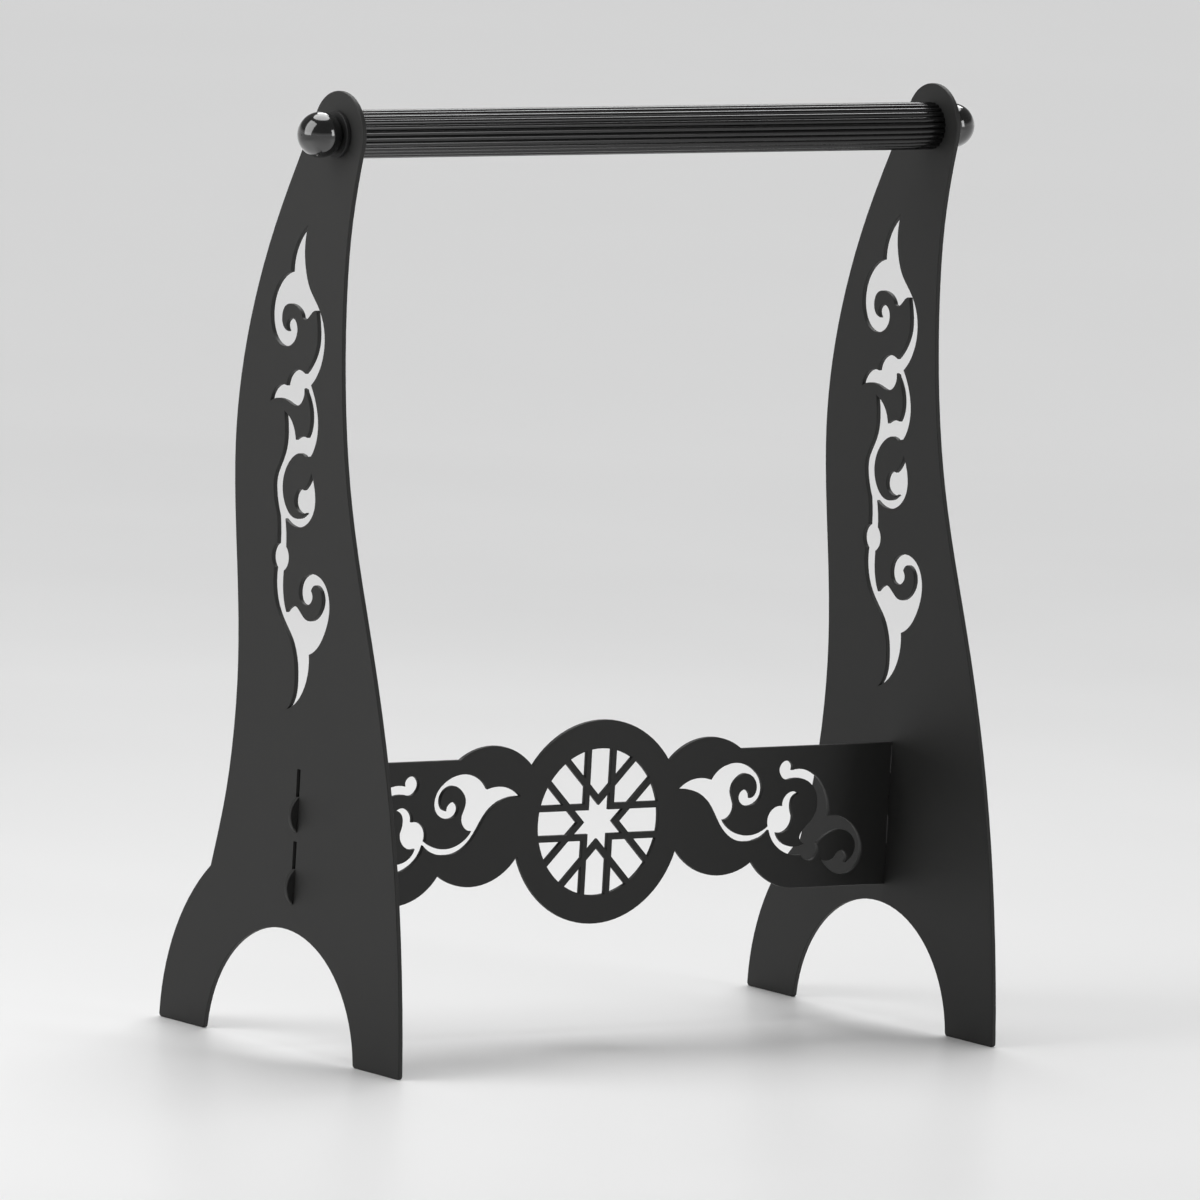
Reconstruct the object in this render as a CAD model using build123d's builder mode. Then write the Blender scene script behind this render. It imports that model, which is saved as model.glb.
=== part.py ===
"""Freestanding towel stand: two pierced sheet-steel side panels, a pierced crossbar and a reeded rod.

The origin is on the floor, midway between the panels and midway between the front and rear feet.
+X runs to the right, +Y to the back and +Z up. All sizes are in millimetres.
"""

import os
from math import cos, radians, sin

from build123d import *

# Sheet steel
sheet = 2.0  # thickness of the side panels and of the crossbar
between_panels = 288.0  # clear width from one side panel to the other

# Side panel; widths are measured from the middle of the feet, and a place "at" a share is that far
# up from the notch above the rear foot to the rod's axis
foot_span = 164.8  # from the toe of the front foot to the heel of the rear foot
arch_width = 102.0  # opening between the two feet, on the floor
arch_height = 47.3
foot_rounding = 1.5  # radius of the corners that stand on the floor
heel_depth = 30.0  # how far the rear foot's curve sweeps back from its notch
heel_height = 64.8  # height of that notch
heel_fullness, heel_fullness_at = 0.69, 0.6  # how far back the sweep has come, at that share up
notch_lean = 0.28  # forward run of the rear edge for each unit of drop, where it meets the notch
toe_lean = 0.06  # backward run of the front edge for each unit of rise, at the toe
calf_back, calf_at = 43.8, 0.12  # rear edge
waist_back, waist_at = 40.9, 0.255
loin_back, loin_at = 45.8, 0.42
bulge_back, bulge_at = 50.7, 0.574
shoulder_back, shoulder_at = 32.2, 0.86
ankle_front, ankle_at = 78.2, 0.65  # front edge; this share is of the notch's height
shin_front, shin_at = 67.0, 0.125
knee_front, knee_at = 49.0, 0.32
thigh_front, thigh_at = 27.7, 0.523
neck_front, neck_at = 17.3, 0.79

# Lobe at the top of each panel, round the rod
rod_depth = -7.6  # the rod's axis lies this far from the middle of the feet
rod_height = 361.3
lobe_radius = 17.0
lobe_back_angle = 27.0  # where the rear edge runs into the lobe
lobe_front_angle = 194.0  # where the front edge runs into the lobe

# Towel rod
rod_diameter = 19.0
reed_count = 24
reed_rise = 0.75  # height of a reed above the groove beside it
rod_bore = 15.0
plug_length = 12.0
glue_line = 0.05  # round each plug in the rod's bore

# Ball knob, its stud and the washer between the knob and the panel
washer_diameter = 18.4
washer_thickness = 1.9
washer_play = 0.2  # radial, round the stud
knob_diameter = 18.0
knob_seat_diameter = 12.8  # flat that bears on the washer
knob_bore_depth = 10.0
stud_diameter = 5.0
stud_in_plug = 10.0  # length of stud held in the plug
stud_tip_gap = 1.0  # between the stud's end and the bottom of the knob's bore
stud_play = 0.05  # radial, in the plug's and the knob's threads
stud_hole_play = 0.3  # radial, in the panel
knob_gap = 0.1  # between the knob's flat and the washer

# Crossbar; heights are measured from the medallion's centre
crossbar_depth = -4.5  # its middle plane, from the middle of the feet
medallion_height = 85.1  # above the floor
medallion_radius = 40.9
lattice_opening = 29.4  # radius of the round opening behind the lattice
star_radius = 12.4  # centre to point of the eight-pointed star
star_points = 8
star_skip = 3  # each side of the star runs from a point to the third one on
lattice_bar = 2.7  # width of a lattice bar
top_edge = 27.1  # straight top edge
bottom_edge = -30.4  # straight bottom edge, near the panels
shoulder_angle = 35.0  # where the upper scallop springs from the medallion
belly_angle = -18.0  # where the lower scallop springs from the medallion
scroll_margin = 12.7  # from the end of the bar to the nearest opening
shoulder_crown, crown_out = 32.2, 52.9  # each place "out" is that far from the medallion's centre
shoulder_end_out = 68.9
belly_dip, dip_out = -23.9, 59.9
belly_cusp, cusp_out = -18.9, 76.9
sweep_end_out = 98.9

# Hooks at the crossbar's ends, and their slots in the panels
hook_pitch = 28.6  # from one hook to the one below it
top_hook = 15.0  # top of the upper hook's neck, above the medallion's centre
hook_neck = 9.0  # height of the neck that rests in the slot
hook_lift = 11.0  # how far the crossbar is lifted to unhook it
nose_drop = 5.0  # how far a hook's nose hangs below its slot
hook_reach = 3.6  # how far a hook stands out from the panel's face
hook_gap = 0.1  # between the nose and the panel's face
slot_play = 0.15  # on each side of the crossbar in its slot

# Vine pierced through each side panel
vine_bulb_back = 16.0  # centre of its bulb, behind the middle of the feet
vine_bulb_radius = 5.6
vine_top_gap = 38.0  # from its tip up to the rod's axis
vine_foot_gap = 22.5  # from the upper slot up to its lower tip

os.makedirs("parts", exist_ok=True)

panel_inner = between_panels / 2
panel_outer = panel_inner + sheet
slot_height = hook_neck + hook_lift
slot_bottoms = [medallion_height + top_hook - hook_neck - row * hook_pitch for row in (0, 1)]
stud_hole_radius = stud_diameter / 2 + stud_hole_play
threaded_radius = stud_diameter / 2 + stud_play

side_view = Plane(origin=(0, 0, 0), x_dir=(0, 1, 0), z_dir=(1, 0, 0))
front_view = Plane(
    origin=(0, crossbar_depth, medallion_height), x_dir=(1, 0, 0), z_dir=(0, -1, 0)
)
rod_end_view = Plane(origin=(0, rod_depth, rod_height), x_dir=(0, 1, 0), z_dir=(1, 0, 0))
rod_side_view = Plane(origin=(0, rod_depth, rod_height), x_dir=(1, 0, 0), z_dir=(0, -1, 0))
rod_axis = Axis((0, rod_depth, rod_height), (1, 0, 0))


def polar(radius, degrees):
    """Point at a radius and an angle from the +x axis of a sketch."""
    return radius * cos(radians(degrees)), radius * sin(radians(degrees))


def trace(strokes, step):
    """Draws strokes end to end in the active line, with one step of their points at that length.

    A stroke is the list of points that it passes through, and the first is only the start. One
    point is a straight run, two are an arc, and more are a smooth curve. Strokes meet at the
    outline's cusps and corners.
    """
    start, *runs = strokes
    here = (start[0][0] * step, start[0][1] * step)
    for stroke in runs:
        points = [here] + [(x * step, y * step) for x, y in stroke]
        if len(points) == 2:
            Line(*points)
        elif len(points) == 3:
            ThreePointArc(*points)
        else:
            Spline(*points)
        here = points[-1]


def panel_point(width, share):
    """Point on a panel's edge: width behind the middle of the feet, share of the way up."""
    return width, heel_height + share * (rod_height - heel_height)


def lobe_point(degrees):
    """Point on the lobe, at an angle from the horizontal at its back."""
    across, up = polar(lobe_radius, degrees)
    return rod_depth + across, rod_height + up


# Outline of a side panel: over the lobe, down the back, over the arch and up the front
toe = foot_span / 2
arch_half = arch_width / 2
notch = (toe - heel_depth, heel_height)
with BuildSketch() as panel_outline:
    with BuildLine():
        ThreePointArc(lobe_point(lobe_front_angle), lobe_point(90), lobe_point(lobe_back_angle))
        Spline(
            lobe_point(lobe_back_angle),
            panel_point(shoulder_back, shoulder_at),
            panel_point(bulge_back, bulge_at),
            panel_point(loin_back, loin_at),
            panel_point(waist_back, waist_at),
            panel_point(calf_back, calf_at),
            notch,
            tangents=(polar(1, lobe_back_angle - 90), (notch_lean, -1)),
        )
        ThreePointArc(
            notch,
            (notch[0] + heel_depth * heel_fullness, heel_height * heel_fullness_at),
            (toe, 0),
        )
        Line((toe, 0), (arch_half, 0))
        ThreePointArc((arch_half, 0), (0, arch_height), (-arch_half, 0))
        Line((-arch_half, 0), (-toe, 0))
        Spline(
            (-toe, 0),
            (-ankle_front, ankle_at * heel_height),
            panel_point(-shin_front, shin_at),
            panel_point(-knee_front, knee_at),
            panel_point(-thigh_front, thigh_at),
            panel_point(-neck_front, neck_at),
            lobe_point(lobe_front_angle),
            tangents=((toe_lean, 1), polar(1, lobe_front_angle - 90)),
        )
    make_face()
    fillet(panel_outline.vertices().group_by(Axis.Y)[0], radius=foot_rounding)

# The vine pierced through a side panel, drawn in steps from the centre of its bulb
vine_strokes = [
    # the top flower's tip, then its petal and curl
    [(-6.5, 131.2)],
    [(-2.8, 127.7), (0.1, 123.7), (2.6, 117.2), (2.9, 112.2)],
    [(10, 108), (15.2, 95), (11, 85), (4.5, 82.7), (-1.5, 85.5), (-3, 91)]
    + [(-0.5, 94), (3.6, 92.8), (3, 88.8)],
    [(7.3, 92), (6.2, 98.2), (0, 99.7), (-6.2, 95.2)],
    [(-9.5, 95.2), (-12.5, 98), (-15.6, 99)],
    # inside of the crescent stem, and the leaf with three lobes
    [(-17.1, 92.2), (-17.3, 85.7), (-14.5, 78.7), (-10, 73.5)],
    [(-3.5, 74.2), (2, 67.5)],
    [(9.5, 65.5), (12.3, 60.5)],
    [(5, 62.1), (1, 61.6), (-3.5, 60.4), (-7, 60.9), (-9.6, 63.7), (-10, 67.8)],
    # inside of the next stem, the prong and the left side down to the bulb
    [(-14.2, 62), (-15.6, 54.7), (-13.6, 48.7)],
    [(-9.7, 48.7), (-6, 47)],
    [(-3.5, 53), (2.3, 57.2)],
    [(1.2, 50.7), (1.3, 43.7), (3.5, 37.7), (6.8, 30.7), (6.6, 24.7), (3.4, 16)],
    [(2.4, 5), (2.9, -2)],
    # below the bulb: the left side down to the bottom flower's tip
    [(3.4, -11.8), (1, -19), (-4, -25.5), (-9.5, -31.3), (-13, -38.3), (-14.3, -46)]
    + [(-13.8, -52.8), (-10.2, -58.7)],
    [(-20, -50.3), (-22.8, -42), (-22.6, -35.6)],
    # round the bottom flower's curl and back up to the bulb
    [(-28, -32.3), (-32.4, -26), (-34.7, -18.8), (-34.2, -12.3), (-30.5, -6.6), (-24.5, -4)]
    + [(-19.5, -4.5), (-15.3, -7.5), (-14, -12), (-15.5, -15.5), (-21, -16)]
    + [(-22.8, -14), (-21.7, -10.6)],
    [(-25.2, -8), (-28.4, -9.8), (-29.8, -14.8), (-27, -20), (-22.5, -22.5)]
    + [(-19, -22.3), (-14.5, -19.3), (-12, -18), (-8.5, -18.8), (-5.8, -21.1)],
    [(-4, -17.2), (-2.7, -11), (-2.9, -2)],
    [(-3, 10), (-1.8, 15.5)],
    # the small curled leaf
    [(-6.5, 13.4), (-12, 13.2), (-18.2, 16.5), (-21.2, 22), (-20.9, 28), (-18, 35)],
    [(-16.2, 31), (-13.3, 28)],
    [(-8.1, 25.7), (-8, 21.5), (-11.5, 19), (-15.5, 19.4)],
    [(-11.5, 16.6), (-6, 16.8), (-1, 21.2), (1.2, 28.2), (0, 34.2), (-4.5, 40)]
    + [(-9.7, 42.2), (-13.2, 41.1)],
    # outside of both stems, and back up to the tip
    [(-16.8, 41.9)],
    [(-19.7, 47.2), (-20.6, 53.7), (-18.7, 62), (-14.3, 69.6)],
    [(-19, 75.2), (-21.7, 82.7), (-21.4, 91.5), (-17.2, 99.7), (-9.7, 107.7)]
    + [(-6.8, 114), (-5.4, 121.7), (-6.5, 131.2)],
]
vine_heights = [y for stroke in vine_strokes for x, y in stroke]
vine_low = slot_bottoms[0] + slot_height + vine_foot_gap
vine_step = (rod_height - vine_top_gap - vine_low) / (max(vine_heights) - min(vine_heights))
vine_bulb = (vine_bulb_back, vine_low - min(vine_heights) * vine_step)
with BuildSketch() as panel_vine:
    with BuildLine(Location(vine_bulb)):
        trace(vine_strokes, vine_step)
    make_face()
    with Locations(vine_bulb):
        Circle(vine_bulb_radius)

# Slots that take the crossbar's hooks, and the hole for the knob's stud
with BuildSketch() as panel_holes:
    for slot_bottom in slot_bottoms:
        with Locations((crossbar_depth, slot_bottom + slot_height / 2)):
            Rectangle(sheet + 2 * slot_play, slot_height)
    with Locations((rod_depth, rod_height)):
        Circle(stud_hole_radius)

for side, name in ((-1, "left"), (1, "right")):
    with BuildPart() as side_panel:
        with BuildSketch(side_view.offset(side * panel_inner)):
            add(panel_outline.sketch)
            add(panel_vine.sketch, mode=Mode.SUBTRACT)
            add(panel_holes.sketch, mode=Mode.SUBTRACT)
        extrude(amount=side * sheet)
    side_panel.part.label = f"{name}_side_panel"
    export_step(side_panel.part, f"parts/{name}_side_panel.step")

# Scroll pierced through each half of the crossbar, drawn in steps from the medallion's centre
scroll_strokes = [
    # the flower's tip, its upper petal and its curl
    [(39, 11.7)],
    [(44, 14.8), (49.5, 15.8), (55, 14.9)],
    [(59, 19.1), (66.5, 21.3), (75, 18.8), (80, 12.9), (79.8, 7.2), (74.5, 3.8)]
    + [(70, 5.1), (69, 8), (71.5, 10.4), (74, 9), (74.5, 6.8)],
    [(77, 8.3), (77.7, 11.9), (75, 15.9), (71.5, 16.9), (67.5, 14.9), (65.3, 10.9)]
    + [(65.9, 7.2), (67, 3.7), (65.4, 0), (61.8, -1.5)],
    # upper side of the first stem, the bulb and its leaf
    [(66.5, -6.1), (74, -8.3), (80, -7.3), (84.3, -4.9)],
    [(85.6, 1.3), (91, 3)],
    [(92.2, 7), (94.7, 8.6), (98.6, 8)],
    [(95.7, 5.5), (95.4, 2.3), (96.4, -1.1)],
    [(94.6, -6.1), (88.8, -7.6)],
    # upper side of the second stem, the trunk's near side and the knob above it
    [(91.2, -11.3), (96.5, -13.6), (103, -12.7)],
    [(100.4, -9.8), (102.3, -6.5), (106.3, -2.6), (108.4, 3.4), (106.8, 9.4)]
    + [(102, 13.3), (97, 14.2), (93.4, 13.7)],
    [(90, 14.9), (88.7, 18.6), (92, 21.4), (95, 19.6), (94.9, 17.4)],
    [(100.5, 17.6), (107, 14.8), (112, 8.8), (114.3, 2), (114, -1.9)],
    # round the end curl
    [(119.5, -1.9), (126.3, -5.4), (131.1, -12.5), (131.5, -18.5), (127, -24.5)]
    + [(120.5, -25.4), (115, -22.7), (111.8, -19.2)],
    [(115.2, -20), (117.8, -18.9), (119.8, -16.6), (122.2, -16), (124.3, -18)]
    + [(123.6, -20.9)],
    [(127.3, -18.3), (128.6, -14), (126, -9.5), (120.5, -7.4), (114.5, -8.7)]
    + [(109.3, -12.8)],
    # under side of the stems, back to the flower's tip
    [(109.8, -16.3), (107.3, -19.1), (104, -19.2), (101.5, -17.1)],
    [(97, -16.9), (91, -14.5), (86.6, -10.3), (84.9, -6.4)],
    [(80.5, -9.5), (75, -10.7), (68.5, -9.8), (62.5, -5.8), (58.8, -0.8)]
    + [(55.5, 4.4), (50, 9.3), (44, 11.4), (39, 11.7)],
]
scroll_reach = max(x for stroke in scroll_strokes for x, y in stroke)
scroll_step = (panel_inner - scroll_margin) / scroll_reach
with BuildSketch() as crossbar_scroll:
    with BuildLine():
        trace(scroll_strokes, scroll_step)
    make_face()

# Round lattice: bars along the sides of an eight-pointed star, whose middle stays open
star_side = star_radius * cos(radians(180 * star_skip / star_points))  # centre to each of its sides
with BuildSketch() as lattice_openings:
    Circle(lattice_opening)
    with PolarLocations(star_side + lattice_bar / 2, star_points):
        Rectangle(lattice_bar, 2 * lattice_opening, mode=Mode.SUBTRACT)
    half_turn = 180 / star_points
    star_hollow = star_side / cos(radians(half_turn))
    with BuildLine():
        Polyline(
            *[
                polar(star_hollow if corner % 2 == 0 else star_radius, corner * half_turn)
                for corner in range(2 * star_points)
            ],
            close=True,
        )
    make_face()

# Hooks at one end of the crossbar: a neck through the panel's slot and a rounded nose outside it
with BuildSketch() as crossbar_hooks:
    for slot_bottom in slot_bottoms:
        neck_bottom = slot_bottom - medallion_height
        neck_top = neck_bottom + hook_neck
        nose_bottom = neck_bottom - nose_drop
        nose_inside = panel_outer + hook_gap
        nose_outside = (panel_outer + hook_reach, (neck_top + nose_bottom) / 2)
        with Locations(((panel_inner + nose_inside) / 2, (neck_top + neck_bottom) / 2)):
            Rectangle(nose_inside - panel_inner, hook_neck)
        with BuildLine():
            ThreePointArc((nose_inside, neck_top), nose_outside, (nose_inside, nose_bottom))
            Line((nose_inside, nose_bottom), (nose_inside, neck_top))
        make_face()

# One half of the crossbar's outline, from the medallion out to a side panel
with BuildSketch() as crossbar_half:
    shoulder_start = polar(medallion_radius, shoulder_angle)
    belly_start = polar(medallion_radius, belly_angle)
    crown = (crown_out, shoulder_crown)
    shoulder_end = (shoulder_end_out, top_edge)
    dip = (dip_out, belly_dip)
    cusp = (cusp_out, belly_cusp)
    sweep_end = (sweep_end_out, bottom_edge)
    with BuildLine():
        ThreePointArc(shoulder_start, crown, shoulder_end)
        Line(shoulder_end, (panel_inner, top_edge))
        Line((panel_inner, top_edge), (panel_inner, bottom_edge))
        Line((panel_inner, bottom_edge), sweep_end)
        TangentArc(sweep_end, cusp, tangent=(-1, 0))
        ThreePointArc(cusp, dip, belly_start)
        Line(belly_start, (0, belly_start[1]))
        Line((0, belly_start[1]), (0, shoulder_start[1]))
        Line((0, shoulder_start[1]), shoulder_start)
    make_face()
    add(crossbar_scroll.sketch, mode=Mode.SUBTRACT)
    add(crossbar_hooks.sketch)

with BuildPart() as crossbar:
    with BuildSketch(front_view):
        add(crossbar_half.sketch)
        mirror(crossbar_half.sketch, about=Plane.YZ)
        Circle(medallion_radius)
        add(lattice_openings.sketch, mode=Mode.SUBTRACT)
    extrude(amount=sheet / 2, both=True)
crossbar.part.label = "crossbar"
export_step(crossbar.part, "parts/crossbar.step")

# Reeded rod: rounded reeds side by side round a tube
reed_turn = 360 / reed_count
crest = rod_diameter / 2
groove = crest - reed_rise
with BuildPart() as towel_rod:
    with BuildSketch(rod_end_view):
        with BuildLine():
            for reed in range(reed_count):
                start = reed * reed_turn
                ThreePointArc(
                    polar(groove, start),
                    polar(crest, start + reed_turn / 2),
                    polar(groove, start + reed_turn),
                )
        make_face()
        Circle(rod_bore / 2, mode=Mode.SUBTRACT)
    extrude(amount=panel_inner, both=True)
towel_rod.part.label = "towel_rod"
export_step(towel_rod.part, "parts/towel_rod.step")

# What holds the rod at each end: a plug glued into its bore, a stud, a washer and a ball knob
knob_radius = knob_diameter / 2
seat_radius = knob_seat_diameter / 2
knob_face = panel_outer + washer_thickness + knob_gap
knob_centre = knob_face + (knob_radius**2 - seat_radius**2) ** 0.5
knob_bore_end = knob_face + knob_bore_depth
stud_start = panel_inner - stud_in_plug
stud_end = knob_bore_end - stud_tip_gap
for side, name in ((-1, "left"), (1, "right")):
    with BuildPart() as rod_plug:
        with BuildSketch(rod_end_view.offset(side * panel_inner)):
            Circle(rod_bore / 2 - glue_line)
            Circle(threaded_radius, mode=Mode.SUBTRACT)
        extrude(amount=-side * plug_length)
    rod_plug.part.label = f"{name}_rod_plug"
    export_step(rod_plug.part, f"parts/{name}_rod_plug.step")

    with BuildPart() as stud:
        with BuildSketch(rod_end_view.offset(side * stud_start)):
            Circle(stud_diameter / 2)
        extrude(amount=side * (stud_end - stud_start))
    stud.part.label = f"{name}_stud"
    export_step(stud.part, f"parts/{name}_stud.step")

    with BuildPart() as washer:
        with BuildSketch(rod_end_view.offset(side * panel_outer)):
            Circle(washer_diameter / 2)
            Circle(stud_diameter / 2 + washer_play, mode=Mode.SUBTRACT)
        extrude(amount=side * washer_thickness)
    washer.part.label = f"{name}_washer"
    export_step(washer.part, f"parts/{name}_washer.step")

    with BuildPart() as ball_knob:
        with BuildSketch(rod_side_view):
            with BuildLine():
                Line((side * knob_face, threaded_radius), (side * knob_face, seat_radius))
                ThreePointArc(
                    (side * knob_face, seat_radius),
                    (side * knob_centre, knob_radius),
                    (side * (knob_centre + knob_radius), 0),
                )
                Line((side * (knob_centre + knob_radius), 0), (side * knob_bore_end, 0))
                Line((side * knob_bore_end, 0), (side * knob_bore_end, threaded_radius))
                Line((side * knob_bore_end, threaded_radius), (side * knob_face, threaded_radius))
            make_face()
        revolve(axis=rod_axis)
    ball_knob.part.label = f"{name}_ball_knob"
    export_step(ball_knob.part, f"parts/{name}_ball_knob.step")
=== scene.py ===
"""Looks of the freestanding towel stand: rounded sheet edges, its coats, and a plain pale studio.

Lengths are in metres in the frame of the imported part: +X to the right, +Y to the back, +Z up, with
the floor at z = 0.
"""

import logging
import math
from collections.abc import Iterator
from contextlib import contextmanager
from dataclasses import dataclass
from enum import Enum
from typing import Any, ClassVar

import bmesh
import bpy
from mathutils import Matrix, Vector


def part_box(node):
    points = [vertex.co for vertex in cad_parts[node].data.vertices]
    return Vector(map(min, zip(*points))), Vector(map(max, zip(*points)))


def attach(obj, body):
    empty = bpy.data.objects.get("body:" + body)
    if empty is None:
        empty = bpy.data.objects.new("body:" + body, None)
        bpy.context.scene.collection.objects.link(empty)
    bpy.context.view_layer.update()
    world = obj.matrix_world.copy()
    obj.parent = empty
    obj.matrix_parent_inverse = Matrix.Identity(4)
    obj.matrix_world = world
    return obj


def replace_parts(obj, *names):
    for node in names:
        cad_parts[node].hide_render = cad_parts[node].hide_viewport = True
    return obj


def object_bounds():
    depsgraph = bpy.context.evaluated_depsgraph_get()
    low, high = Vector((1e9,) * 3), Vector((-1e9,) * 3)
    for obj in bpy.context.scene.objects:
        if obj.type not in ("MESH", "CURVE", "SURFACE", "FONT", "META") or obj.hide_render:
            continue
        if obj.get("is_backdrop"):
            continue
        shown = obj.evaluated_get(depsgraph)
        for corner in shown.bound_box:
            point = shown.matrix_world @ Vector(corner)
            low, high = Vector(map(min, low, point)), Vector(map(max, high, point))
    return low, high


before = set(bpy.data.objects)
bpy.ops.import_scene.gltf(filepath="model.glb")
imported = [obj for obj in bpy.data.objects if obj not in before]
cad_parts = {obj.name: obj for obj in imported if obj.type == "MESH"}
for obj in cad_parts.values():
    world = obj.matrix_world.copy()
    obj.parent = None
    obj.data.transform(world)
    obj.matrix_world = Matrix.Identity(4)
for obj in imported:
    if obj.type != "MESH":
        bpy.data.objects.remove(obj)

log = logging.getLogger("towel_stand")

MILLIMETRE = 0.001
MICROMETRE = 0.000001

MEAN = 0.5  # what noise from 0 to 1 has on the average
SOFT, CLOUDY, BLOTCHY = 1.0, 3.0, 4.0  # layers of detail in a noise

Colour = tuple[float, float, float]


class Body(Enum):
    """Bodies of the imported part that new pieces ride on."""

    STAND = "stand"


class Slot(Enum):
    """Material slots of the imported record."""

    PANEL_COAT = "panel_coat"
    ROD_COAT = "rod_coat"
    KNOB_GLOSS = "knob_gloss"
    WASHER_NYLON = "washer_nylon"
    PLUG_BRASS = "plug_brass"
    STUD_STEEL = "stud_steel"


class Side(Enum):
    """The two ends of the stand, as the names of the nodes have them."""

    LEFT = "left"
    RIGHT = "right"


class Value:
    """A number or vector in a shader, whose arithmetic adds Math nodes."""

    def __init__(self, graph: "Graph", socket: bpy.types.NodeSocket) -> None:
        """Wraps one output socket of a graph's node."""
        self.graph = graph
        self.socket = socket

    def math(self, operation: str, *terms: "Value | float") -> "Value":
        """Adds a Math node over this value and other terms.

        Args:
            operation: The Math node's operation.
            terms: What fills its sockets, in their order.

        Returns:
            The node's result.
        """
        return self.graph.node("ShaderNodeMath", {"operation": operation}, dict(enumerate(terms)))

    def __add__(self, other: "Value | float") -> "Value":
        """This value plus another."""
        return self.math("ADD", self, other)

    __radd__ = __add__

    def __sub__(self, other: "Value | float") -> "Value":
        """This value less another."""
        return self.math("SUBTRACT", self, other)

    def __rsub__(self, other: float) -> "Value":
        """A number less this value."""
        return self.math("SUBTRACT", other, self)

    def __mul__(self, other: "Value | float") -> "Value":
        """This value times another."""
        return self.math("MULTIPLY", self, other)

    __rmul__ = __mul__

    def __truediv__(self, other: "Value | float") -> "Value":
        """This value divided by another."""
        return self.math("DIVIDE", self, other)

    def __pow__(self, other: "Value | float") -> "Value":
        """This value raised to a power."""
        return self.math("POWER", self, other)

    def sine(self) -> "Value":
        """Sine of this value in radians."""
        return self.math("SINE", self)

    def pingpong(self, span: float) -> "Value":
        """This value folded back and forth between 0 and a span."""
        return self.math("PINGPONG", self, span)

    def clipped(self) -> "Value":
        """This value kept between 0 and 1."""
        return self.graph.node("ShaderNodeClamp", {}, {"Value": self})


class Graph:
    """The nodes of one material or of the world."""

    # Places of the Mix node's colour sockets
    MIX_FACTOR: ClassVar[int] = 0
    MIX_LOW: ClassVar[int] = 6
    MIX_HIGH: ClassVar[int] = 7
    MIX_RESULT: ClassVar[int] = 2

    def __init__(self, tree: bpy.types.NodeTree) -> None:
        """Starts from an empty tree."""
        self.tree = tree
        tree.nodes.clear()

    def node(
        self,
        kind: str,
        settings: dict[str, Any],
        sockets: dict[str | int, Any],
        output: str | int = 0,
    ) -> Value:
        """Adds one node.

        Args:
            kind: The node's type.
            settings: Its own settings, set before its sockets; "stops" are a ramp's stops.
            sockets: Numbers, colours or values for its input sockets, by name or place.
            output: The output socket to return.

        Returns:
            The value of that output socket.
        """
        made = self.tree.nodes.new(kind)
        for name, setting in settings.items():
            if name == "stops":
                self.set_stops(made.color_ramp, setting)
            else:
                setattr(made, name, setting)
        for key, content in sockets.items():
            if isinstance(content, Value):
                self.tree.links.new(content.socket, made.inputs[key])
            else:
                made.inputs[key].default_value = content
        return Value(self, made.outputs[output])

    @staticmethod
    def set_stops(ramp: bpy.types.ColorRamp, stops: list[tuple[float, Colour]]) -> None:
        """Gives a ramp its stops.

        Args:
            ramp: The ramp, which starts with two stops.
            stops: The place from 0 to 1 and the colour of each stop, in rising order.
        """
        while len(ramp.elements) < len(stops):
            ramp.elements.new(1.0)
        for element, (place, colour) in zip(ramp.elements, stops):
            element.position = place
            element.color = (*colour, 1.0)

    def place(self) -> Value:
        """Object coordinates, which are places in the part's frame in metres."""
        return self.node("ShaderNodeTexCoord", {}, {}, "Object")

    def scaled(self, vector: Value, factors: tuple[float, float, float]) -> Value:
        """A vector stretched along each axis by its own factor."""
        return self.node("ShaderNodeVectorMath", {"operation": "MULTIPLY"}, {0: vector, 1: factors})

    def noise(self, vector: Value, size: float, detail: float = 2.0) -> Value:
        """Soft noise from 0 to 1.

        Args:
            vector: Where it is read.
            size: Length of its features, in the units of the vector.
            detail: How many finer layers it has.

        Returns:
            The noise, about 0.5 on the average.
        """
        sockets = {"Vector": vector, "Scale": 1 / size, "Detail": detail}
        return self.node("ShaderNodeTexNoise", {}, sockets, "Fac")

    def mixed(self, factor: Value | float, low: Colour, high: Colour) -> Value:
        """A colour between two others, by a factor from 0 to 1."""
        sockets = {
            self.MIX_FACTOR: factor,
            self.MIX_LOW: (*low, 1.0),
            self.MIX_HIGH: (*high, 1.0),
        }
        return self.node("ShaderNodeMix", {"data_type": "RGBA"}, sockets, self.MIX_RESULT)

    def bump(self, height: Value, depth: float) -> Value:
        """A normal that a height from 0 to 1 tilts, as if it were that deep in metres."""
        return self.node("ShaderNodeBump", {}, {"Height": height, "Distance": depth}, "Normal")

    def surface(self, **sockets: Any) -> None:
        """Ends the graph in a Principled shader.

        Args:
            sockets: Its sockets, with _ for each space of their names.
        """
        named = {name.replace("_", " "): content for name, content in sockets.items()}
        shader = self.node("ShaderNodeBsdfPrincipled", {}, named)
        self.node_out("ShaderNodeOutputMaterial", shader)

    def node_out(self, kind: str, shader: Value) -> None:
        """Links a shader to a new output node of that type."""
        made = self.tree.nodes.new(kind)
        self.tree.links.new(shader.socket, made.inputs["Surface"])


def lighter(colour: Colour, factor: float) -> Colour:
    """A colour with each channel times a factor."""
    red, green, blue = colour
    return red * factor, green * factor, blue * factor


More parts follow.
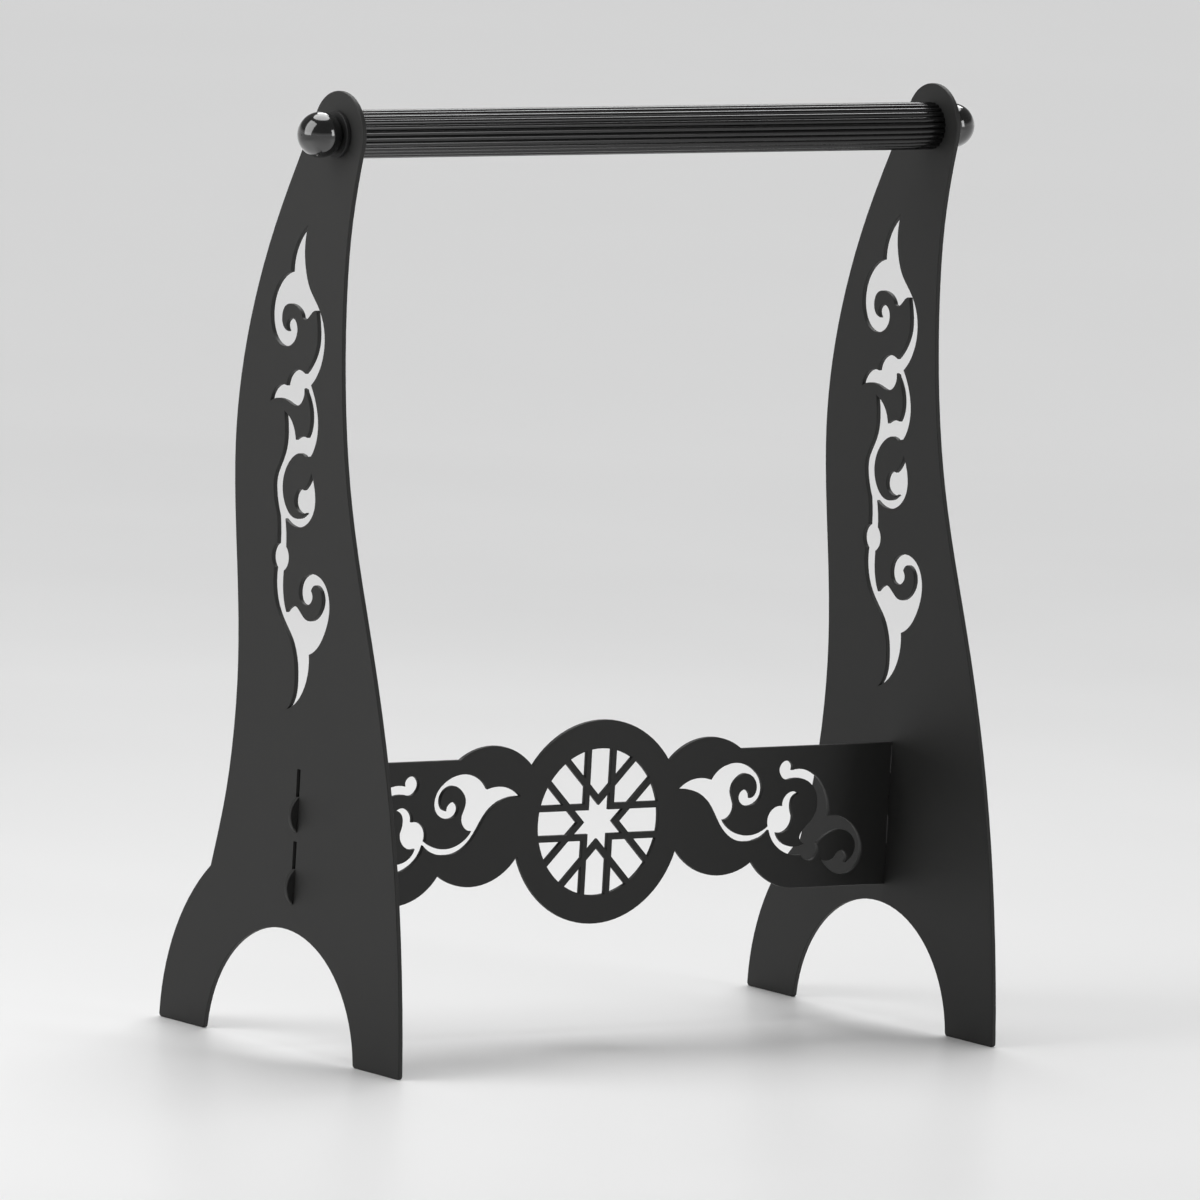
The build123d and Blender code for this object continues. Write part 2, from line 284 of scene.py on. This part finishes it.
@dataclass(frozen=True)
class Finish:
    """A finish of the stand, which makes its own material.

    Attributes:
        slot: The record's slot that pieces in this finish belong to.
        colour: Its mean colour.
        roughness: Its mean roughness.
    """

    slot: Slot
    colour: Colour
    roughness: float

    def draw(self, graph: Graph) -> None:
        """Adds the finish's nodes to an empty graph."""
        raise NotImplementedError

    def material(self) -> bpy.types.Material:
        """Makes the material.

        Returns:
            The material, named after its slot.
        """
        made = bpy.data.materials.new(f"{self.slot.value}_finish")
        made.use_nodes = True
        self.draw(Graph(made.node_tree))
        return made

    def dress(self, pieces: list[bpy.types.Object]) -> None:
        """Gives pieces this finish.

        Args:
            pieces: New pieces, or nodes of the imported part.
        """
        made = self.material()
        for piece in pieces:
            if not piece.material_slots:
                piece.data.materials.append(made)
            for material_slot in piece.material_slots:
                material_slot.material = made


@dataclass(frozen=True)
class PowderCoat(Finish):
    """Satin powder coat with a fine grain and a slight orange peel.

    Attributes:
        grain: Width of the grain.
        grain_depth: Depth of the grain.
        peel: Width of the orange peel's dimples.
        peel_depth: Depth of those dimples.
        cloud: Width of the slow changes of tone.
        cloud_share: How far those change the colour, as a share of it.
        cloud_weight: Their part in the tone, of which the grain has the rest.
        roughness_spread: How far the roughness varies with the grain and the clouds.
        sheen: Strength of its reflections, where 0.5 is a plain plastic's.
    """

    grain: float = 0.42 * MILLIMETRE
    grain_depth: float = 16 * MICROMETRE
    peel: float = 2.6 * MILLIMETRE
    peel_depth: float = 9 * MICROMETRE
    cloud: float = 70 * MILLIMETRE
    cloud_share: float = 0.12
    cloud_weight: float = 0.6
    roughness_spread: float = 0.16
    sheen: float = 0.35

    def draw(self, graph: Graph) -> None:
        """Adds the coat's nodes to an empty graph."""
        place = graph.place()
        grain = graph.noise(place, self.grain)
        peel = graph.noise(place, self.peel, SOFT)
        cloud = graph.noise(place, self.cloud, CLOUDY)
        depth = self.grain_depth + self.peel_depth
        relief = (grain * self.grain_depth + peel * self.peel_depth) * (1 / depth)
        tone = (cloud * self.cloud_weight + grain * (1 - self.cloud_weight)).clipped()
        graph.surface(
            Base_Color=graph.mixed(
                tone,
                lighter(self.colour, 1 - self.cloud_share),
                lighter(self.colour, 1 + self.cloud_share),
            ),
            Roughness=self.roughness + (tone - MEAN) * self.roughness_spread,
            Specular_IOR_Level=self.sheen,
            Normal=graph.bump(relief, depth),
        )


@dataclass(frozen=True)
class DrawnCoat(Finish):
    """Semi-gloss coat over a drawn tube, with faint lines along its length.

    Attributes:
        line: Width of the drawn lines.
        line_length: Length of the drawn lines.
        line_depth: Depth of the drawn lines.
        haze: Width of the patches where the gloss is duller.
        haze_spread: How far the roughness varies with the lines and the haze.
        line_weight: The lines' part in the wear, of which the haze has the rest.
        wear_share: How far the wear changes the colour, as a share of it.
    """

    line: float = 0.25 * MILLIMETRE
    line_length: float = 40 * MILLIMETRE
    line_depth: float = 0.5 * MICROMETRE
    haze: float = 18 * MILLIMETRE
    haze_spread: float = 0.08
    line_weight: float = 0.5
    wear_share: float = 0.3

    def draw(self, graph: Graph) -> None:
        """Adds the coat's nodes to an empty graph."""
        place = graph.place()
        along = graph.scaled(place, (self.line / self.line_length, 1.0, 1.0))
        lines = graph.noise(along, self.line)
        haze = graph.noise(place, self.haze, CLOUDY)
        wear = (lines * self.line_weight + haze * (1 - self.line_weight)).clipped()
        graph.surface(
            Base_Color=graph.mixed(
                wear,
                lighter(self.colour, 1 - self.wear_share),
                lighter(self.colour, 1 + self.wear_share),
            ),
            Roughness=self.roughness + (wear - MEAN) * self.haze_spread,
            Normal=graph.bump(lines, self.line_depth),
        )


@dataclass(frozen=True)
class MouldedGloss(Finish):
    """Glossy moulded black with hair-fine polishing marks under a clear skin.

    Attributes:
        ripple: Width of the slow ripple that moulding leaves.
        ripple_depth: Depth of that ripple.
        mark: Width of the polishing marks.
        mark_squeeze: How many times closer the marks lie along the rod than across it.
        mark_spread: How far the marks vary the roughness.
        mark_share: How far the marks change the colour, as a share of it.
        skin: Weight of the clear skin.
        skin_roughness: Roughness of the clear skin.
        skin_index: Refractive index of the clear skin.
    """

    ripple: float = 4.0 * MILLIMETRE
    ripple_depth: float = 3 * MICROMETRE
    mark: float = 0.2 * MILLIMETRE
    mark_squeeze: float = 4.0
    mark_spread: float = 0.1
    mark_share: float = 0.2
    skin: float = 1.0
    skin_roughness: float = 0.08
    skin_index: float = 1.55

    def draw(self, graph: Graph) -> None:
        """Adds the gloss's nodes to an empty graph."""
        place = graph.place()
        marks = graph.noise(graph.scaled(place, (self.mark_squeeze, 1.0, 1.0)), self.mark)
        ripple = graph.noise(place, self.ripple, SOFT)
        graph.surface(
            Base_Color=graph.mixed(
                marks,
                lighter(self.colour, 1 - self.mark_share),
                lighter(self.colour, 1 + self.mark_share),
            ),
            Roughness=self.roughness + (marks - MEAN) * self.mark_spread,
            Coat_Weight=self.skin,
            Coat_Roughness=self.skin_roughness,
            Coat_IOR=self.skin_index,
            Normal=graph.bump(ripple, self.ripple_depth),
        )


@dataclass(frozen=True)
class Turned(Finish):
    """A turned or threaded finish round the rod's axis.

    Attributes:
        metallic: Whether it is metal, from 0 to 1.
        axis_y: Depth of the rod's axis.
        axis_z: Height of the rod's axis.
        pitch: From one turning mark or thread to the next.
        helical: Whether the marks run on as a thread along the axis, or lie in rings on the ends.
        mark_depth: Depth of the marks.
        stain: Width of the stains on it.
        stain_share: How far the stains change its colour, as a share of it.
    """

    metallic: float
    axis_y: float
    axis_z: float
    pitch: float
    helical: bool
    mark_depth: float
    stain: float = 3.0 * MILLIMETRE
    stain_share: float = 0.25

    def marks(self, graph: Graph, place: Value) -> Value:
        """Height of the turning marks.

        Args:
            graph: The finish's graph.
            place: Object coordinates.

        Returns:
            A height from 0 to 1.
        """
        centred = graph.node(
            "ShaderNodeVectorMath",
            {"operation": "SUBTRACT"},
            {0: place, 1: (0.0, self.axis_y, self.axis_z)},
        )
        along, across, up = (
            graph.node("ShaderNodeSeparateXYZ", {}, {"Vector": centred}, axis) for axis in "XYZ"
        )
        if self.helical:
            turn = up.math("ARCTAN2", up, across) * (1 / math.tau)
            return (along / self.pitch + turn).pingpong(0.5) * 2
        radius = (across * across + up * up) ** 0.5
        return (radius * (math.tau / self.pitch)).sine() * 0.5 + 0.5

    def draw(self, graph: Graph) -> None:
        """Adds the finish's nodes to an empty graph."""
        place = graph.place()
        stain = graph.noise(place, self.stain, BLOTCHY)
        graph.surface(
            Base_Color=graph.mixed(
                stain,
                lighter(self.colour, 1 - self.stain_share),
                lighter(self.colour, 1 + self.stain_share),
            ),
            Metallic=self.metallic,
            Roughness=self.roughness + (stain - MEAN) * self.stain_share,
            Normal=graph.bump(self.marks(graph, place), self.mark_depth),
        )


def deselect_all() -> None:
    """Leaves nothing selected, so that an operator acts only on what is selected next."""
    for piece in bpy.context.selected_objects:
        piece.select_set(False)


@contextmanager
def active(piece: bpy.types.Object) -> Iterator[None]:
    """Makes a piece the only selected object, and the active one, for a while."""
    deselect_all()
    piece.select_set(True)
    bpy.context.view_layer.objects.active = piece
    yield
    deselect_all()


@contextmanager
def edited(piece: bpy.types.Object) -> Iterator[bmesh.types.BMesh]:
    """Opens a piece in edit mode, with its mesh at hand for selecting.

    Args:
        piece: The piece to edit.

    Yields:
        The edit mesh, valid until the first operator that changes it.
    """
    with active(piece):
        bpy.ops.object.mode_set(mode="EDIT")
        yield bmesh.from_edit_mesh(piece.data)
        bpy.ops.object.mode_set(mode="OBJECT")


@dataclass
class FlatPiece:
    """A flat piece with rounded rims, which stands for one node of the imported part.

    Attributes:
        node: The node's name.
        across: Unit vector across the flat piece.
        rim: Radius of its rounded rims.
        crisp: Lowest and highest corner of a box whose rims stay sharp, if there is one.
        body: The body that it rides on.
    """

    node: str
    across: Vector
    rim: float
    crisp: tuple[Vector, Vector] | None = None
    body: Body = Body.STAND

    SAME_PLACE: ClassVar[float] = 1 * MICROMETRE
    NEARLY_SAME_PLACE: ClassVar[float] = 3 * MICROMETRE
    SHARP: ClassVar[float] = math.radians(38)
    RIM_STEPS: ClassVar[int] = 3
    ALONG: ClassVar[float] = 0.2  # share of the normal that a wall of the cut may have across the sheet

    def is_rim(self, edge: bmesh.types.BMEdge) -> bool:
        """Whether an edge to round lies between a flat face and a wall of the cut."""
        middle = (edge.verts[0].co + edge.verts[1].co) / 2
        if self.crisp:
            low, high = self.crisp
            if all(low[axis] < middle[axis] < high[axis] for axis in range(3)):
                return False
        shares = sorted(abs(face.normal.dot(self.across)) for face in edge.link_faces)
        return len(shares) == 2 and shares[0] < self.ALONG and shares[1] > 1 - self.ALONG

    def reshape(self, mesh: bmesh.types.BMesh) -> None:
        """Moves vertices of the closed copy before its rims are rounded; a plain piece has none."""

    def build(self) -> bpy.types.Object:
        """Copies the node's mesh, closes it and rounds its rims.

        Returns:
            The new piece, which replaces the node.
        """
        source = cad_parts[self.node]
        piece = bpy.data.objects.new(f"{self.node}_rounded", source.data.copy())
        bpy.context.scene.collection.objects.link(piece)
        with edited(piece):
            bpy.ops.mesh.select_all(action="SELECT")
            bpy.ops.mesh.customdata_custom_splitnormals_clear()
            bpy.ops.mesh.remove_doubles(threshold=self.SAME_PLACE)
        with edited(piece) as mesh:
            self.reshape(mesh)
            bmesh.update_edit_mesh(piece.data)
            bpy.ops.mesh.select_all(action="SELECT")
            bpy.ops.mesh.remove_doubles(threshold=self.NEARLY_SAME_PLACE)
        with edited(piece) as mesh:
            bpy.ops.mesh.select_all(action="DESELECT")
            mesh.select_mode = {"EDGE"}
            for edge in mesh.edges:
                edge.select_set(self.is_rim(edge))
            bmesh.update_edit_mesh(piece.data)
            bpy.ops.mesh.bevel(
                offset=self.rim,
                segments=self.RIM_STEPS,
                affect="EDGES",
                clamp_overlap=False,
                loop_slide=False,
                miter_outer="ARC",
            )
        with active(piece):
            bpy.ops.object.shade_smooth_by_angle(angle=self.SHARP)
            weighting = piece.modifiers.new("flat_faces", "WEIGHTED_NORMAL")
            weighting.keep_sharp = True
            bpy.ops.object.modifier_apply(modifier=weighting.name)
        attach(piece, self.body.value)
        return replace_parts(piece, self.node)


@dataclass
class Crossbar(FlatPiece):
    """The crossbar, whose star opening gets the straight sides of a star drawn line by line.

    Attributes:
        star_radius: From the star's centre to its points.
        star_points: How many points it has.
        star_skip: Each side runs from a point to this one on.
    """

    star_radius: float = 12.4 * MILLIMETRE
    star_points: int = 8
    star_skip: int = 3

    def reshape(self, mesh: bmesh.types.BMesh) -> None:
        """Moves what stands in the star's opening back to its outline.

        Args:
            mesh: The closed copy of the node's mesh.
        """
        low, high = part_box(self.node)
        centre = (low + high) / 2
        half_turn = math.pi / self.star_points
        lean = half_turn * (self.star_skip - 1)
        side = self.star_radius * math.cos(half_turn * self.star_skip)
        outward = Vector((math.cos(lean), -math.sin(lean)))
        for vertex in mesh.verts:
            offset = Vector((vertex.co.x - centre.x, vertex.co.z - centre.z))
            if not 0 < offset.length < self.star_radius:
                continue
            angle = math.atan2(offset.y, offset.x)
            nook = 2 * half_turn * round(angle / (2 * half_turn))
            above = math.copysign(1.0, angle - nook)
            folded = Vector((math.cos(angle - nook), abs(math.sin(angle - nook)))) * offset.length
            depth = side - folded.dot(outward)
            if depth < self.SAME_PLACE:
                continue
            folded += outward * depth
            if folded.y < 0:
                folded = Vector((side / math.cos(lean), 0.0))
            turned = Matrix.Rotation(nook, 2) @ Vector((folded.x, above * folded.y))
            vertex.co.x, vertex.co.z = centre.x + turned.x, centre.z + turned.y


@dataclass
class Stand:
    """The whole stand: two panels, the crossbar, the rod, and what holds the rod at each end.

    Attributes:
        sheet_rim: Radius that the coat leaves on the edges of the sheet.
        slots_low: Height below the two hook slots of a panel.
        slots_high: Height above them.
        slot_reach: From the middle of a slot to just outside it, along the depth.
        washer_rim: Radius of the washers' moulded edges.
        thread_pitch: Pitch of the studs' threads.
        thread_depth: Depth of the studs' threads.
        turning: Pitch of the turning marks on the plugs.
        turning_depth: Depth of those marks.
        nylon_grain_depth: Depth of the washers' grain.
    """

    sheet_rim: float = 0.4 * MILLIMETRE
    slots_low: float = 60 * MILLIMETRE
    slots_high: float = 114 * MILLIMETRE
    slot_reach: float = 1.6 * MILLIMETRE
    washer_rim: float = 0.3 * MILLIMETRE
    thread_pitch: float = 0.8 * MILLIMETRE
    thread_depth: float = 0.45 * MILLIMETRE
    turning: float = 0.3 * MILLIMETRE
    turning_depth: float = 12 * MICROMETRE
    nylon_grain_depth: float = 6 * MICROMETRE

    def sheets(self) -> list[bpy.types.Object]:
        """Builds the panels and the crossbar with rounded edges.

        The hook slots keep their sharp rims, since rounded ones would widen the sight line through them.
        """
        low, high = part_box("crossbar")
        middle = (low.y + high.y) / 2
        slots = (
            Vector((low.x, middle - self.slot_reach, self.slots_low)),
            Vector((high.x, middle + self.slot_reach, self.slots_high)),
        )
        along_x, along_y = Vector((1, 0, 0)), Vector((0, 1, 0))
        flats = [
            FlatPiece(f"{side.value}_side_panel", along_x, self.sheet_rim, slots) for side in Side
        ]
        flats.append(Crossbar("crossbar", along_y, self.sheet_rim))
        return [flat.build() for flat in flats]

    def washers(self) -> list[bpy.types.Object]:
        """Builds the two washers with rounded edges."""
        along_x = Vector((1, 0, 0))
        return [
            FlatPiece(f"{side.value}_washer", along_x, self.washer_rim).build() for side in Side
        ]

    def nodes(self, kind: str) -> list[bpy.types.Object]:
        """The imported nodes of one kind, at both ends of the rod."""
        return [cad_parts[f"{side.value}_{kind}"] for side in Side]

    def build(self) -> None:
        """Builds the new pieces and dresses everything."""
        low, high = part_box("towel_rod")
        centre = (low + high) / 2
        axis = {"axis_y": centre.y, "axis_z": centre.z}
        dressed = [
            (
                PowderCoat(Slot.PANEL_COAT, colour=(0.0165, 0.0165, 0.0158), roughness=0.56),
                self.sheets(),
            ),
            (
                DrawnCoat(Slot.ROD_COAT, colour=(0.004, 0.004, 0.004), roughness=0.17),
                [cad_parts["towel_rod"]],
            ),
            (
                MouldedGloss(Slot.KNOB_GLOSS, colour=(0.006, 0.006, 0.006), roughness=0.14),
                self.nodes("ball_knob"),
            ),
            (
                PowderCoat(
                    Slot.WASHER_NYLON,
                    colour=(0.012, 0.012, 0.012),
                    roughness=0.55,
                    grain_depth=self.nylon_grain_depth,
                ),
                self.washers(),
            ),
            (
                Turned(
                    Slot.PLUG_BRASS,
                    colour=(0.62, 0.44, 0.2),
                    roughness=0.32,
                    metallic=1.0,
                    pitch=self.turning,
                    helical=False,
                    mark_depth=self.turning_depth,
                    **axis,
                ),
                self.nodes("rod_plug"),
            ),
            (
                Turned(
                    Slot.STUD_STEEL,
                    colour=(0.5, 0.5, 0.48),
                    roughness=0.34,
                    metallic=1.0,
                    pitch=self.thread_pitch,
                    helical=True,
                    mark_depth=self.thread_depth,
                    **axis,
                ),
                self.nodes("stud"),
            ),
        ]
        for finish, pieces in dressed:
            finish.dress(pieces)
            for piece in pieces:
                log.info("%s: %s, %d faces", piece.name, finish.slot.value, len(piece.data.polygons))


@dataclass(frozen=True)
class Softbox:
    """A soft lamp that faces the stand.

    Attributes:
        name: The lamp's name.
        direction: From the stand towards the lamp.
        distance: From the stand to the lamp.
        width: The lamp's width.
        height: The lamp's height.
        brightness: Radiance of its face, where a lit white card has 1.
    """

    name: str
    direction: tuple[float, float, float]
    distance: float
    width: float
    height: float
    brightness: float

    def hang(self, aim: Vector) -> bpy.types.Object:
        """Adds the lamp.

        Args:
            aim: The point that it faces.

        Returns:
            The lamp's object.
        """
        data = bpy.data.lights.new(self.name, "AREA")
        data.shape = "RECTANGLE"
        data.size, data.size_y = self.width, self.height
        data.energy = self.brightness * math.pi * self.width * self.height
        lamp = bpy.data.objects.new(self.name, data)
        away = Vector(self.direction).normalized()
        lamp.location = aim + away * self.distance
        lamp.rotation_mode = "QUATERNION"
        lamp.rotation_quaternion = away.to_track_quat("Z", "Y")
        lamp.visible_camera = False
        bpy.context.scene.collection.objects.link(lamp)
        return lamp


@dataclass
class Studio:
    """The floor, the lamps, the world and the camera.

    Attributes:
        floor_reach: Half the floor's side.
        floor_near: The floor's colour round the stand, painted darker there because the lamps light it
            most.
        floor_far: Its colour further away, painted lighter to make up for the lamp light that reaches it
            less.
        near_reach: From the stand to where the near colour starts to change.
        far_reach: From the stand to where the far colour is reached.
        floor_cloud: Width of the floor's slow changes of tone.
        floor_mottle: How far those shift the change from near to far colour.
        floor_roughness: The floor's least roughness.
        floor_haze: How far those changes add to it.
        horizon: Height on the sky's ramp up to which it is pale, and its colour there.
        sky: Height from which it is dim, and its colour there.
        sun_strength: Strength of the even overhead light.
        sun_spread: Angle that it comes from, in degrees across.
        sun_direction: From the stand towards it.
        aim: The point at the middle of the photograph.
        azimuth: The camera's angle round the stand, in degrees.
        elevation: Its angle above the horizon, in degrees.
        roll: How far it is turned about its own axis, in degrees.
        distance: From the camera to the aim point.
        lens: Its focal length in millimetres.
        sensor: Its sensor's width in millimetres.
    """

    floor_reach: float = 30.0
    floor_near: Colour = (0.78, 0.78, 0.78)
    floor_far: Colour = (0.96, 0.96, 0.96)
    near_reach: float = 0.8
    far_reach: float = 2.0
    floor_cloud: float = 0.3
    floor_mottle: float = 0.3
    floor_roughness: float = 0.3
    floor_haze: float = 0.1
    horizon: tuple[float, Colour] = (0.08, (0.7, 0.7, 0.7))
    sky: tuple[float, Colour] = (0.25, (0.13, 0.13, 0.13))
    sun_strength: float = 2.15
    sun_spread: float = 50.0
    sun_direction: tuple[float, float, float] = (0.2, 0.25, 1.0)
    aim: Vector = Vector((-0.0028126, -0.0020367, 0.173526))
    azimuth: float = -36.3392
    elevation: float = 7.1209
    roll: float = 3.2046
    distance: float = 6.68833
    lens: float = 506.78
    sensor: float = 36.0

    SOFTBOXES: ClassVar[tuple[Softbox, ...]] = (
        Softbox(
            "key", direction=(-0.80, 0.136, 0.56), distance=0.85, width=0.5, height=0.75, brightness=3.4
        ),
        Softbox(
            "fill", direction=(0.445, -0.835, 0.322), distance=1.6, width=0.35, height=0.7, brightness=5.0
        ),
        Softbox(
            "top", direction=(0.47, 0.47, 0.745), distance=1.2, width=0.8, height=0.3, brightness=6.0
        ),
    )

    def lay_floor(self) -> bpy.types.Object:
        """Adds the floor with its slightly glossy paint.

        Returns:
            The floor.
        """
        deselect_all()
        bpy.ops.mesh.primitive_plane_add(size=2 * self.floor_reach)
        floor = bpy.context.active_object
        floor.name = "floor"
        made = bpy.data.materials.new("floor_paint")
        made.use_nodes = True
        graph = Graph(made.node_tree)
        place = graph.place()
        cloud = graph.noise(place, self.floor_cloud, CLOUDY)
        reach = graph.node("ShaderNodeVectorMath", {"operation": "LENGTH"}, {0: place}, "Value")
        away = (reach - self.near_reach) / (self.far_reach - self.near_reach)
        graph.surface(
            # painted light: the floor is painted darker near the stand and lighter further away, to even
            # out the lamps' fall-off
            Base_Color=graph.mixed(
                (away + (cloud - MEAN) * self.floor_mottle).clipped(),
                self.floor_near,
                self.floor_far,
            ),
            Roughness=self.floor_roughness + cloud * self.floor_haze,
        )
        floor.data.materials.append(made)
        floor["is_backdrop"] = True
        return floor

    def light_world(self) -> None:
        """Gives the world a pale horizon under a dimmer sky."""
        world = bpy.data.worlds.new("studio")
        world.use_nodes = True
        graph = Graph(world.node_tree)
        direction = graph.node("ShaderNodeTexCoord", {}, {}, "Generated")
        height = graph.node("ShaderNodeSeparateXYZ", {}, {"Vector": direction}, "Z")
        sky = graph.node(
            "ShaderNodeValToRGB",
            {"stops": [self.horizon, self.sky]},
            {"Fac": height},
            "Color",
        )
        background = graph.node("ShaderNodeBackground", {}, {"Color": sky, "Strength": 1.0})
        graph.node_out("ShaderNodeOutputWorld", background)
        bpy.context.scene.world = world

    def hang_sun(self) -> None:
        """Adds the even overhead light that reaches the whole floor."""
        data = bpy.data.lights.new("overhead", "SUN")
        data.energy = self.sun_strength
        data.angle = math.radians(self.sun_spread)
        lamp = bpy.data.objects.new("overhead", data)
        lamp.rotation_mode = "QUATERNION"
        lamp.rotation_quaternion = Vector(self.sun_direction).to_track_quat("Z", "Y")
        bpy.context.scene.collection.objects.link(lamp)

    def place_camera(self) -> bpy.types.Object:
        """Adds the camera at the photograph's place.

        Returns:
            The camera, which is also made the scene's.
        """
        turn, rise = math.radians(self.azimuth), math.radians(self.elevation)
        back = Vector(
            (math.sin(turn) * math.cos(rise), -math.cos(turn) * math.cos(rise), math.sin(rise))
        )
        right = Vector((math.cos(turn), math.sin(turn), 0))
        axes = Matrix((right, back.cross(right), back)).transposed()
        data = bpy.data.cameras.new("camera")
        data.sensor_width = self.sensor
        data.lens = self.lens
        camera = bpy.data.objects.new("camera", data)
        camera.rotation_mode = "QUATERNION"
        camera.rotation_quaternion = (
            axes @ Matrix.Rotation(math.radians(self.roll), 3, "Z")
        ).to_quaternion()
        camera.location = self.aim + back * self.distance
        bpy.context.scene.collection.objects.link(camera)
        bpy.context.scene.camera = camera
        return camera

    def build(self) -> None:
        """Sets up the whole studio."""
        bpy.context.scene.view_settings.view_transform = "Standard"
        self.lay_floor()
        self.light_world()
        self.hang_sun()
        for softbox in self.SOFTBOXES:
            softbox.hang(self.aim)
        self.place_camera()


def size() -> list[list[float]]:
    """Lowest and highest corner of the shown object, as plain lists."""
    return [list(corner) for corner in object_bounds()]


def main() -> None:
    """Builds the stand and the studio."""
    logging.basicConfig(level=logging.INFO, format="%(name)s: %(message)s")
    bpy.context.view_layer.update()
    Studio().build()
    Stand().build()


if __name__ == "__main__":
    main()
